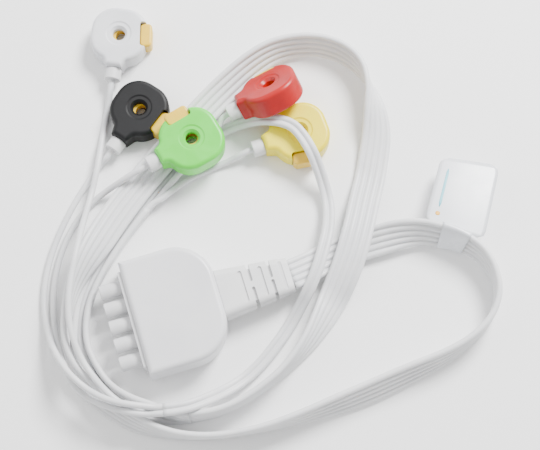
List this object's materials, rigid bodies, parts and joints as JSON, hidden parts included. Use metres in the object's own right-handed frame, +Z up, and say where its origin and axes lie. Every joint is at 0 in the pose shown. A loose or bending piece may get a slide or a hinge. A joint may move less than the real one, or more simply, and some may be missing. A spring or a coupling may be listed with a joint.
{
  "type": "ecg lead wire set",
  "caption": "Coiled ECG lead-wire set: white ribbon cable with a multi-pin plug, a flag label and coloured snap electrode connectors with cream release buttons.",
  "frame": {"origin": "centre of the bounding box of the plug, label and snap connectors, on the surface they lie on", "axes": "+Z up from the surface; +X to the right and +Y away from the plug's side of the loop, as seen from above"},
  "size_m": [0.14, 0.1366, 0.0181],
  "materials": {
    "white_shell": "satin",
    "white_rubber": "satin",
    "wire_white": "satin",
    "snap_black": "satin",
    "snap_green": "satin",
    "snap_white": "satin",
    "snap_yellow": "satin",
    "snap_red": "satin",
    "button_cream": "satin",
    "contact_brass": "bright",
    "spring_steel": "bright",
    "copper_core": "bright",
    "label_film": "satin"
  },
  "bodies": {
    "set": {"plug_cover_bottom": "white_shell", "plug_cover_top": "white_shell", "contact_carrier": "white_shell", "contact_sockets": "contact_brass", "plug_cores": "copper_core", "cable_clamp": "white_shell", "strain_relief": "white_rubber", "label_flag": "label_film", "ribbon_cable": "wire_white", "pair_black_green": "wire_white", "pair_yellow_red": "wire_white", "white_housing_bottom": "snap_white", "white_housing_top": "snap_white", "white_spring": "spring_steel", "white_contact": "contact_brass", "white_collar": "white_rubber", "white_lead": "wire_white", "black_housing_bottom": "snap_black", "black_housing_top": "snap_black", "black_spring": "spring_steel", "black_contact": "contact_brass", "black_collar": "white_rubber", "black_lead": "wire_white", "green_housing_bottom": "snap_green", "green_housing_top": "snap_green", "green_spring": "spring_steel", "green_contact": "contact_brass", "green_collar": "white_rubber", "green_lead": "wire_white", "yellow_housing_bottom": "snap_yellow", "yellow_housing_top": "snap_yellow", "yellow_spring": "spring_steel", "yellow_contact": "contact_brass", "yellow_collar": "white_rubber", "yellow_lead": "wire_white", "red_housing_bottom": "snap_red", "red_housing_top": "snap_red", "red_spring": "spring_steel", "red_contact": "contact_brass", "red_collar": "white_rubber", "red_lead": "wire_white"},
    "white_release": {"white_button": "button_cream"},
    "black_release": {"black_button": "button_cream"},
    "green_release": {"green_button": "button_cream"},
    "yellow_release": {"yellow_button": "button_cream"},
    "red_release": {"red_button": "button_cream"}
  },
  "joints": [
    {"name": "white_button_slide", "type": "slide", "parent": "set", "child": "white_release", "axis": [-1, 0.0055, 0], "range_m": [0, 0.001], "stiffness_N_per_m": 350, "springref_m": -0.0003, "deforming": ["white_spring"]},
    {"name": "black_button_slide", "type": "slide", "parent": "set", "child": "black_release", "axis": [-0.8177, 0.5756, 0], "range_m": [0, 0.001], "stiffness_N_per_m": 350, "springref_m": -0.0003, "deforming": ["black_spring"]},
    {"name": "green_button_slide", "type": "slide", "parent": "set", "child": "green_release", "axis": [0.5325, -0.8464, 0], "range_m": [0, 0.001], "stiffness_N_per_m": 350, "springref_m": -0.0003, "deforming": ["green_spring"]},
    {"name": "yellow_button_slide", "type": "slide", "parent": "set", "child": "yellow_release", "axis": [-0.2039, 0.979, 0], "range_m": [0, 0.001], "stiffness_N_per_m": 350, "springref_m": -0.0003, "deforming": ["yellow_spring"]},
    {"name": "red_button_slide", "type": "slide", "parent": "set", "child": "red_release", "axis": [0.1695, -0.7022, 0.6915], "range_m": [0, 0.001], "stiffness_N_per_m": 350, "springref_m": -0.0003, "deforming": ["red_spring"]}
  ]
}
